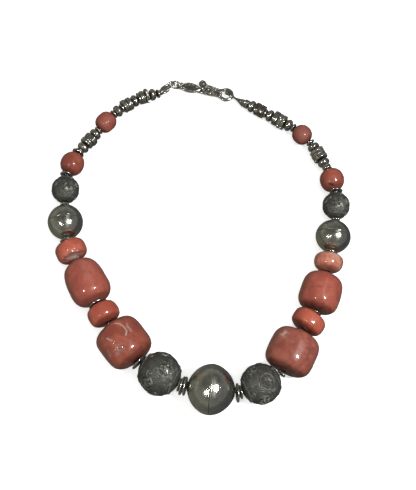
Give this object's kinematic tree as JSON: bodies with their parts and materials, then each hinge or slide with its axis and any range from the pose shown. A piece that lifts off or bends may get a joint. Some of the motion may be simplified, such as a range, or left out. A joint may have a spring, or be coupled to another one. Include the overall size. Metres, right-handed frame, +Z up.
{
  "type": "bead necklace",
  "caption": "Graduated red coral bead necklace with aged silver and filigree beads, small silver spacers and a hook clasp, lying closed in an oval loop.",
  "frame": {"origin": "middle of the closed loop's bounding box, on the surface that it lies on", "axes": "+Z up from the surface, +Y from the large centre bead towards the clasp, +X to the picture's right"},
  "size_m": [0.1503, 0.1793, 0.0238],
  "materials": {
    "coral": "polished red coral with pits, scratches and paler patches",
    "silver": "hand-worn silver with dark tarnish in the seams",
    "filigree_silver": "oxidised silver filigree, bright on the raised wire",
    "spacer_silver": "worn cast silver with dark recesses",
    "clasp_silver": "worn silver wire and sheet",
    "thread": "dark twisted cord"
  },
  "bodies": {
    "root": {"centre_bead": "silver", "right_front_filigree": "filigree_silver", "right_front_barrel": "coral", "right_front_rondelle": "coral", "right_side_barrel": "coral", "right_side_rondelle": "coral", "right_silver_ball": "silver", "right_side_filigree": "filigree_silver", "right_round_coral": "coral", "right_small_coral": "coral", "right_end_eye": "clasp_silver", "left_front_filigree": "filigree_silver", "left_front_barrel": "coral", "left_front_rondelle": "coral", "left_side_barrel": "coral", "left_side_rondelle": "coral", "left_silver_ball": "silver", "left_side_filigree": "filigree_silver", "left_round_coral": "coral", "left_small_coral": "coral", "left_end_loop": "clasp_silver", "clasp_hook": "clasp_silver", "thread": "thread", "right_front_spacers": "spacer_silver", "right_lower_spacers": "spacer_silver", "right_upper_spacers": "spacer_silver", "left_front_spacers": "spacer_silver", "left_lower_spacers": "spacer_silver", "left_upper_spacers": "spacer_silver"}
  },
  "joints": []
}
